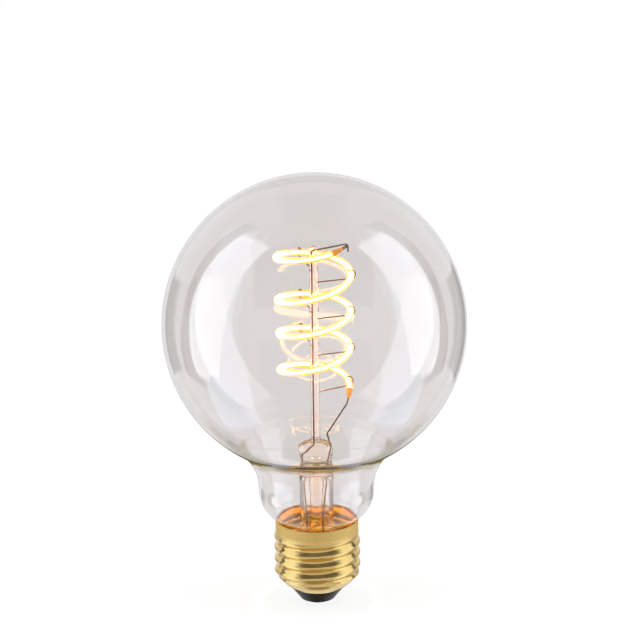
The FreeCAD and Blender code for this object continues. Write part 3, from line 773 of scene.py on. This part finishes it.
def makeShell():
    s = shellSet
    straightEnd, bend = shellBase + s["baseRise"], shellBase + s["baseBend"]
    band, curl = s["bandRadius"], s["rimRound"]
    rows = []  # radius, height, outward share, upward share
    count = math.ceil((rimHeight - curl - straightEnd) / s["step"])
    for step in range(count + 1):
        rows.append((band, rimHeight - curl + (straightEnd - rimHeight + curl) * step / count, 1.0, 0.0))
    for step in range(1, s["baseCuts"] + 1):  # the base draws in along a parabola
        share = step / s["baseCuts"]
        inward = (band - s["holeRadius"]) * share
        down = straightEnd - bend + (2 * bend - straightEnd - shellBase) * share
        length = math.hypot(inward, down)
        height = straightEnd - 2 * (straightEnd - bend) * share + (straightEnd - 2 * bend + shellBase) * share ** 2
        rows.append((band - inward * share, height, down / length, -inward / length))

    def ringAt(row, inset):
        radius, height, out, up = row
        ring = []
        for step in range(s["around"]):
            azimuth = 2 * math.pi * step / s["around"]
            reach = radius - inset * out + threadLift(height, azimuth) * out
            ring.append((reach * math.cos(azimuth), reach * math.sin(azimuth), height - inset * up))
        return ring

    rings = [ringAt(row, 0.0) for row in rows]
    rings += [ringAt(row, s["wall"]) for row in rows[::-1]]
    innerStart, innerEnd = len(rows) * s["around"], len(rings) * s["around"]
    rim = arcRun((band - s["wall"] + curl, rimHeight - curl), curl, 150, 90, s["rimCuts"])
    rim += arcRun((band - curl, rimHeight - curl), curl, 90, 30, s["rimCuts"])
    rings += [ringOf(radius, height, s["around"]) for radius, height in rim]
    piece = newPiece("screwShell", *skinRings(rings, loopAlong=True))
    inside = piece.data.attributes.new("inside", "FLOAT", "POINT")
    marks = [1.0 if innerStart <= index < innerEnd else 0.0 for index in range(len(piece.data.vertices))]
    inside.data.foreach_set("value", marks)
    return piece


def rolledBrass():
    material, shader = newMaterial("rolledBrass")
    s = shellSet
    inside = addNode(material, "ShaderNodeAttribute")
    inside.attribute_name = "inside"
    bandStart = (rimHeight - s["highMargin"]) * mm
    plain = ranged(material, heightOf(material), 0.0, 1.0, bandStart - 0.001, bandStart + 0.001)
    rolled = blended(material, grain(material, 160), (s["dull"], s["bright"]))
    # painted light: the plain band gets a slightly brighter brass than the threads
    rolled = mixedColour(material, plain, rolled, s["plain"])
    insideStreaks = grain(material, 420, stretch=(1, 1, 0.08))  # painted warm light: orange streaks inside the shell, mostly not metal, stand in for the filament's light on the brass
    streaks = blended(material, insideStreaks, s["insideWarmth"])
    join(material, mixedColour(material, inside.outputs["Fac"], rolled, streaks), shader.inputs["Base Color"])
    metal = ranged(material, inside.outputs["Fac"], 1.0, s["insideMetal"], 0.0, 1.0)
    join(material, metal, shader.inputs["Metallic"])
    lines = grain(material, 60, stretch=(1, 1, 60))  # fine marks of the rolling wheel
    duller = ranged(material, plain, 0.0, s["plainRough"], 0.0, 1.0)
    rough = maths(material, "ADD", ranged(material, lines, *s["rough"]), duller)
    join(material, rough, shader.inputs["Roughness"])
    bumped(material, shader, lines, s["wheelMarks"])
    return material


settle(makeShell(), "cap_brass", rolledBrass(), "screw_shell")
print("screw shell rolled")


# insulator, contact and capping resin

insulatorSet = {
    "faceRadius": 5.4,
    "faceHeight": 1.1,
    "rim": 8.25,
    "waist": 7.544,
    "flangeRadius": 9.162,
    "flangeTop": 6.3,
    "ledge": 0.1,
    "edge": 0.35,
    "hole": 1.25,
    "mouldRings": (5, 0.05),  # how many and how deep
    "sideCuts": 24,
    "around": 120,
    "shades": ((0.008, 0.007, 0.005), (0.015, 0.013, 0.010)),
    "specular": 0.08,
}


def makeInsulator():
    s = insulatorSet
    edge, ledge = s["edge"], shellBase - s["ledge"]
    ringCount, ringDepth = s["mouldRings"]
    profile = [(s["hole"], s["faceHeight"]), (s["faceRadius"] - edge, s["faceHeight"])]
    profile += arcRun((s["faceRadius"] - edge, s["faceHeight"] + edge), edge, -90, -20, 5)
    startRadius, startHeight = profile[-1]
    for step in range(1, s["sideCuts"] + 1):
        share = step / s["sideCuts"]
        ring = ringDepth * math.sin(math.pi * ringCount * share) ** 8  # faint mould rings
        radius = startRadius + (s["rim"] - startRadius) * share - ring
        profile.append((radius, startHeight + (ledge - startHeight) * share))
    profile += [(s["waist"], ledge), (s["waist"], shellBase)]
    profile += [(s["flangeRadius"], s["flangeTop"]), (s["hole"], s["flangeTop"])]
    return turned("capInsulator", tidyRun(profile), s["around"], loopAlong=True)


def blackGlass():
    material, shader = newMaterial("blackGlass")
    s = insulatorSet
    join(material, blended(material, grain(material, 300), s["shades"]), shader.inputs["Base Color"])
    join(material, ranged(material, grain(material, 700), 0.22, 0.38), shader.inputs["Roughness"])
    shader.inputs["Specular IOR Level"].default_value = s["specular"]
    bumped(material, shader, grain(material, 900), 0.00002)
    return material


settle(makeInsulator(), "black_glass", blackGlass(), "insulator")


contactSet = {
    "radius": 3.6,
    "face": 2.4,
    "top": 1.1,
    "shank": 1.2,
    "shankTop": 3.3,
    "shankEdge": 0.2,
    "dimple": 0.12,
    "roundOff": [(2.75, 0.05), (3.1, 0.14), (3.4, 0.27)],  # from the face to the side
    "sideStart": 0.45,
    "around": 96,
    "shades": ((0.52, 0.52, 0.51), (0.74, 0.74, 0.72)),
}


def makeContact():
    s = contactSet
    shank, end, dimple = s["shank"], s["shankTop"], s["dimple"]
    profile = [(0.0, dimple), (0.6, dimple * 0.9), (1.1, dimple * 0.35), (1.5, 0.0), (s["face"], 0.0)]
    profile += s["roundOff"] + [(s["radius"], s["sideStart"]), (s["radius"], s["top"]), (shank, s["top"])]
    profile += [(shank, end - s["shankEdge"]), (shank - s["shankEdge"], end), (0.0, end)]
    return turned("contactButton", profile, s["around"])


def tinnedMetal():
    material, shader = newMaterial("tinnedMetal")
    join(material, blended(material, grain(material, 500), contactSet["shades"]), shader.inputs["Base Color"])
    shader.inputs["Metallic"].default_value = 1.0
    join(material, ranged(material, grain(material, 900), 0.25, 0.45), shader.inputs["Roughness"])
    bumped(material, shader, grain(material, 1200), 0.00003)
    return material


settle(makeContact(), "contact_metal", tinnedMetal(), "centre_contact")


resinSet = {
    "inner": 12.22,
    "outer": 12.4,
    "top": 26.5,
    "bottom": 23.6,
    "around": 120,
    "shades": ((0.80, 0.40, 0.05), (0.98, 0.66, 0.20)),
}


def makeResin():
    s = resinSet
    inner, outer, top, bottom = s["inner"], s["outer"], s["top"], s["bottom"]
    rings = []
    for radius, height in ((inner, bottom), (outer, bottom), (outer, top), (inner, top)):
        ring = []
        for step in range(s["around"]):
            angle = 2 * math.pi * step / s["around"]
            sag = 0.0
            if height == top:  # an uneven upper edge
                sag = 0.08 * math.sin(3 * angle) + 0.05 * math.sin(7 * angle + 1) - 0.13
            ring.append((radius * math.cos(angle), radius * math.sin(angle), height + sag))
        rings.append(ring)
    return newPiece("cappingResin", *skinRings(rings, loopAlong=True))


def amberResin():
    material, shader = newMaterial("amberResin")
    streaks = grain(material, 260, stretch=(1, 1, 0.08))  # runs of the poured resin
    join(material, blended(material, streaks, resinSet["shades"]), shader.inputs["Base Color"])
    shader.inputs["Roughness"].default_value = 0.35
    bumped(material, shader, grain(material, 600), 0.00005)
    return material


settle(makeResin(), "cement", amberResin(), "cap_cement")
print("cap closed")


# wires, tabs and driver parts keep their solids and get finishes

wireSet = {
    "shades": ((0.14, 0.08, 0.055), (0.26, 0.155, 0.11)),
    "metallic": 0.6,
    "rough": (0.28, 0.48),
}

mouldedSet = {  # darker and paler shade, roughness, solids
    "boardLacquer": ((0.05, 0.16, 0.08), (0.09, 0.24, 0.13), 0.4, ["driver_board"]),
    "blackMoulding": ((0.022, 0.022, 0.024), (0.045, 0.045, 0.048), 0.55, ["rectifier", "driver_chip"]),
    "resistorLacquer": ((0.22, 0.32, 0.42), (0.32, 0.42, 0.52), 0.3, ["fuse_resistor"]),
    "capacitorSleeve": ((0.03, 0.03, 0.045), (0.06, 0.06, 0.08), 0.35, ["smoothing_capacitor"]),
    "wireJacket": ((0.62, 0.58, 0.53), (0.75, 0.72, 0.68), 0.4, ["shell_wire", "contact_wire"]),
}


def dullNickel():
    material, shader = newMaterial("dullNickel")
    s = wireSet
    drawn = grain(material, 900, stretch=(1, 1, 0.2))
    join(material, blended(material, drawn, s["shades"]), shader.inputs["Base Color"])
    shader.inputs["Metallic"].default_value = s["metallic"]
    join(material, ranged(material, grain(material, 1400), *s["rough"]), shader.inputs["Roughness"])
    return material


def moulded(name, dark, pale, rough):
    material, shader = newMaterial(name)
    join(material, blended(material, grain(material, 900), (dark, pale)), shader.inputs["Base Color"])
    uneven = ranged(material, grain(material, 1800), rough * 0.8, rough * 1.2)
    join(material, uneven, shader.inputs["Roughness"])
    bumped(material, shader, grain(material, 2700), 0.00002)
    return material


def finishSolids(material, names):
    for name in names:
        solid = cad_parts[name]
        solid.data.materials.clear()
        solid.data.materials.append(material)
        solid.data.shade_smooth()


wires = ["long_lead", "short_lead", *[f"support_wire_{index}" for index in range(1, 8)]]
finishSolids(dullNickel(), wires + ["upper_terminal", "lower_terminal"])
for name, (dark, pale, rough, solids) in mouldedSet.items():
    finishSolids(moulded(name, dark, pale, rough), solids)
print("wires and driver finished")


# studio

studioSet = {
    "floorSide": 12.0,  # metres
    "floorDrop": 0.3,  # millimetres under the contact
    "floorColour": (0.96, 0.96, 0.96),
    "shadowShare": 0.15,
    "fill": 0.85,
    "tentRadius": 4.0,
    "tentCuts": (24, 48),
    "tentFront": (0, -0.942, 0.336),
    # place from behind the lamp (-1) to in front of it (1), and its grey
    "tentBands": [(-1.0, 0.80), (-0.93, 0.90), (-0.80, 0.97), (-0.66, 0.86), (-0.25, 0.84), (0.0, 0.74),
                  (0.3, 0.56), (0.6, 0.76)],
    "tentBlue": 1.02,
    "cardDistance": 1.4,
    "cardSoft": 0.12,
    "lampPlace": (-1.2, -0.3, 0.7),
    "lampSide": (0.9, 1.2),
    "lampPower": 9.0,
    "capGlow": 0.85,
    "capGlowColour": (1.0, 0.64, 0.22),
    "capGlowTurn": 540,  # degrees along the coil that it shines from
}

# cards that mirror in the lamp, their corners as directions from the globe's middle
sideCards = {  # on the left, and turned over on the right
    "Softbox": {
        "corners": [(-0.43, -0.05, 0.90), (-0.57, 0.37, 0.73), (-0.94, 0.30, -0.16), (-0.86, 0.22, -0.47),
                    (-0.79, -0.21, -0.58), (-0.93, -0.34, 0.12)],
        "colour": (0.91, 0.96, 1.03),
        "strength": (1.4, 5.0, 2.85),  # on bare surfaces, on the inside of the near wall, deeper in the lamp
        "nearer": 0.2,
    },
    "Flag": {
        "corners": [(-0.50, 0.50, 0.71), (-0.45, 0.30, 0.82), (-0.90, 0.10, -0.20), (-0.80, 0.10, -0.55),
                    (-0.76, 0.43, -0.47), (-0.88, 0.46, -0.10)],
        "colour": (0.06, 0.06, 0.06),
    },
    "Sheet": {
        "corners": [(-0.74, -0.22, 0.64), (-0.89, -0.44, 0.14), (-0.71, -0.63, -0.32), (-0.42, -0.25, -0.88),
                    (-0.53, 0.30, -0.79), (-0.95, -0.05, -0.30), (-0.99, -0.09, 0.03), (-0.85, 0.03, 0.52)],
        "colour": (0.81, 0.94, 1.12),
        "strength": 1.65,
    },
}

singleCards = {
    "leftWall": {
        "corners": [(-0.75, 0.67, 0.03), (-0.45, 0.88, -0.12), (-0.45, 0.77, -0.45), (-0.75, 0.50, -0.44)],
        "colour": (0.45, 0.45, 0.45),
    },
    "rightWall": {
        "corners": [(0.75, 0.67, 0.03), (0.30, 0.94, -0.17), (0.30, 0.84, -0.46), (0.75, 0.50, -0.44)],
        "colour": (0.45, 0.45, 0.45),
    },
    "darkCeiling": {
        "corners": [(-0.75, -0.62, 0.42), (0.75, -0.62, 0.42), (0.62, -0.05, 0.85), (-0.62, -0.05, 0.85)],
        "colour": (0.16, 0.16, 0.16),
    },
    "darkFoot": {
        "corners": [(-0.17, -0.66, -0.73), (0.17, -0.66, -0.73), (0.23, -0.50, -0.84), (0.27, -0.1, -0.96),
                    (0.2, 0.35, -0.93), (-0.2, 0.35, -0.93), (-0.27, -0.1, -0.96), (-0.23, -0.50, -0.84)],
        "colour": (0.36, 0.31, 0.22),
    },
    "backGap": {
        "corners": [(-0.16, 0.66, -0.74), (0.16, 0.66, -0.74), (0.12, 0.95, -0.29), (-0.12, 0.95, -0.29)],
        "colour": (0.16, 0.115, 0.035),
    },
}

globeCentre = Vector((0, 0, globeHeight * mm))
scene = bpy.context.scene
scene.view_settings.view_transform = "Standard"


def mixed(material, share, first, second):
    mix = addNode(material, "ShaderNodeMixShader")
    if isinstance(share, float):
        mix.inputs["Fac"].default_value = share
    else:
        join(material, share, mix.inputs["Fac"])
    join(material, first, mix.inputs[1])
    join(material, second, mix.inputs[2])
    return mix.outputs["Shader"]


def seenRays(material):
    path = addNode(material, "ShaderNodeLightPath")
    seen = path.outputs["Is Camera Ray"]
    for label in ("Is Glossy Ray", "Is Transmission Ray"):
        seen = maths(material, "MAXIMUM", seen, path.outputs[label])
    return seen


def mirroredRays(material):
    path = addNode(material, "ShaderNodeLightPath")
    return maths(material, "GREATER_THAN", path.outputs["Glossy Depth"], 0.5)


def bareMaterial(name):
    material = bpy.data.materials.new(name)
    material.use_nodes = True
    nodes = material.node_tree.nodes
    nodes.remove(nodes["Principled BSDF"])
    return material, nodes["Material Output"].inputs["Surface"]


def makeFloor():
    s = studioSet
    half = s["floorSide"] / 2 / mm
    corners = [(x * half, y * half, -s["floorDrop"]) for x, y in ((-1, -1), (1, -1), (1, 1), (-1, 1))]
    floor = newPiece("floor", corners, [(0, 1, 2, 3)])
    material, output = bareMaterial("paleFloor")
    matt = addNode(material, "ShaderNodeBsdfDiffuse", Color=(*s["floorColour"], 1))
    white = addNode(material, "ShaderNodeEmission", Color=(1, 1, 1, 1), Strength=1.0)
    clear = addNode(material, "ShaderNodeBsdfTransparent")
    shown = mixed(material, s["shadowShare"], white.outputs["Emission"], matt.outputs["BSDF"])
    lit = mixed(material, seenRays(material), matt.outputs["BSDF"], shown)
    join(material, mixed(material, mirroredRays(material), lit, clear.outputs["BSDF"]), output)
    floor.data.materials.append(material)


def mirrorOnly(obj):
    obj.visible_camera = False
    obj.visible_diffuse = False
    obj.visible_shadow = False


def byGlassDepth(material, levels):  # in steps, by how often the light has passed through glass
    path = addNode(material, "ShaderNodeLightPath")
    most = 10.0
    passed = ranged(material, path.outputs["Transmission Depth"], 0.0, 1.0, 0.0, most)
    stops = [(place / most, [level / most] * 3) for place, level in zip((0.0, 0.5, 3.0), levels)]
    return ranged(material, ramped(material, passed, stops, "CONSTANT"), 0.0, most, 0.0, 1.0)


def reflectedGlow(name, strength, colour, soft):
    material, output = bareMaterial(name)
    mirrored = mirroredRays(material)
    if soft:
        edge = addNode(material, "ShaderNodeAttribute")
        edge.attribute_name = "glow"
        mirrored = maths(material, "MULTIPLY", mirrored, edge.outputs["Fac"])
    clear = addNode(material, "ShaderNodeBsdfTransparent")
    glow = addNode(material, "ShaderNodeEmission", Color=(*colour, 1))
    if isinstance(strength, tuple):
        join(material, byGlassDepth(material, strength), glow.inputs["Strength"])
    else:
        glow.inputs["Strength"].default_value = strength
    join(material, mixed(material, mirrored, clear.outputs["BSDF"], glow.outputs["Emission"]), output)
    material.cycles.emission_sampling = "NONE"
    return material, glow


def makeTent():
    s = studioSet
    reach = s["tentRadius"] / mm
    count, around = s["tentCuts"]
    rings = []
    for step in range(count + 1):
        angle = math.pi * step / count
        radius = 0.0 if step in (0, count) else reach * math.sin(angle)
        rings.append(ringOf(radius, reach * math.cos(angle), around))
    tent = newPiece("studioTent", *skinRings(rings))
    material, glow = reflectedGlow("studioGrey", 1.0, (1, 1, 1), False)
    facing = addNode(material, "ShaderNodeVectorMath")  # how far a spot lies in front of the lamp
    facing.operation = "DOT_PRODUCT"
    facing.inputs[1].default_value = Vector(s["tentFront"]) / s["tentRadius"]
    join(material, objectSpots(material), facing.inputs[0])
    front = ranged(material, facing.outputs["Value"], 0.0, 1.0, -1.0, 1.0)
    stops = [((place + 1) / 2, (grey, grey, grey * s["tentBlue"])) for place, grey in s["tentBands"]]
    join(material, ramped(material, front, stops), glow.inputs["Color"])
    tent.data.materials.append(material)
    mirrorOnly(tent)


def makeCard(name, card, mirror=1):
    s = studioSet
    reach = (s["cardDistance"] - card.get("nearer", 0.0)) / mm
    ways = [Vector((mirror * x, y, z)).normalized() for x, y, z in card["corners"]]
    outer = [globeCentre / mm + way * reach for way in ways]
    middle = sum(outer, Vector()) / len(outer)
    inner = [spot + (middle - spot) * s["cardSoft"] for spot in outer]
    count = len(outer)
    faces = [(k, (k + 1) % count, count + (k + 1) % count, count + k) for k in range(count)]
    faces += [(count + k, count + (k + 1) % count, 2 * count) for k in range(count)]
    board = newPiece(name, [tuple(spot) for spot in outer + inner + [middle]], faces, smooth=False)
    edge = board.data.attributes.new("glow", "FLOAT", "POINT")  # fades to nothing at the edge
    edge.data.foreach_set("value", [0.0] * count + [1.0] * (count + 1))
    material, _ = reflectedGlow(name + "Glow", card.get("strength", 1.0), card["colour"], True)
    board.data.materials.append(material)
    mirrorOnly(board)


def linkLamp(lamp):
    lamp.visible_glossy = False  # the cards mirror instead
    lamp.visible_transmission = False
    scene.collection.objects.link(lamp)


def makeLamp(name, place):
    s = studioSet
    light = bpy.data.lights.new(name, "AREA")
    light.shape = "RECTANGLE"
    light.size, light.size_y = s["lampSide"]
    light.energy = s["lampPower"]
    lamp = bpy.data.objects.new(name, light)
    lamp.location = place
    lamp.rotation_mode = "QUATERNION"
    lamp.rotation_quaternion = (globeCentre - Vector(place)).to_track_quat("-Z", "Y")
    linkLamp(lamp)


def makeCapGlow():
    s = studioSet
    height = coilSpot(s["capGlowTurn"]).z
    light = bpy.data.lights.new("capGlow", "SPOT")  # the filament's light on the inside of the cap
    light.energy = s["capGlow"]
    light.color = s["capGlowColour"]
    light.spot_size = 2 * math.atan2(shellSet["bandRadius"], height - rimHeight)
    light.spot_blend = 0.1
    light.shadow_soft_size = 0.004
    lamp = bpy.data.objects.new("capGlow", light)
    lamp.location = (0, 0, height * mm)
    linkLamp(lamp)


def makeWorld():
    world = bpy.data.worlds.new("studio")
    scene.world = world
    world.use_nodes = True
    world.node_tree.nodes.clear()
    output = addNode(world, "ShaderNodeOutputWorld")
    fill = addNode(world, "ShaderNodeBackground", Color=(1, 1, 1, 1), Strength=studioSet["fill"])
    white = addNode(world, "ShaderNodeBackground", Color=(1, 1, 1, 1))
    shown = mixed(world, seenRays(world), fill.outputs["Background"], white.outputs["Background"])
    join(world, shown, output.inputs["Surface"])


makeFloor()
makeTent()
makeWorld()
lampX, lampY, lampZ = studioSet["lampPlace"]
for side, mirror in (("left", 1), ("right", -1)):
    for name, card in sideCards.items():
        makeCard(side + name, card, mirror)
    makeCard(side + "Wall", singleCards[side + "Wall"])
    makeLamp(side + "Lamp", (lampX * mirror, lampY, lampZ))
for name in ("darkCeiling", "darkFoot", "backGap"):
    makeCard(name, singleCards[name])
makeCapGlow()
scene.cycles.max_bounces = 32
scene.cycles.transmission_bounces = 32
scene.cycles.glossy_bounces = 8
print("studio lit")


# camera

cameraSet = {
    "elevation": 19.6,  # degrees above the level
    "distance": 2.2,  # metres
    "pixelsPerMetre": 3284.0,  # at the globe's middle
    "globePixel": (314.35, 324.9),
    "frameSide": 640,
    "roll": -0.75,
    "sensor": 36.0,
}


def makeCamera():
    s = cameraSet
    tilt = math.radians(s["elevation"])
    data = bpy.data.cameras.new("camera")
    data.sensor_width = s["sensor"]
    data.lens = s["sensor"] * s["pixelsPerMetre"] * s["distance"] / s["frameSide"]
    data.shift_x = (s["frameSide"] / 2 - s["globePixel"][0]) / s["frameSide"]
    data.shift_y = (s["globePixel"][1] - s["frameSide"] / 2) / s["frameSide"]
    camera = bpy.data.objects.new("camera", data)
    away = Vector((0, -math.cos(tilt), math.sin(tilt)))
    turn = Matrix.Rotation(math.pi / 2 - tilt, 4, "X") @ Matrix.Rotation(math.radians(s["roll"]), 4, "Z")
    camera.matrix_world = Matrix.Translation(globeCentre + away * s["distance"]) @ turn
    scene.collection.objects.link(camera)
    scene.camera = camera


makeCamera()
print("camera set")
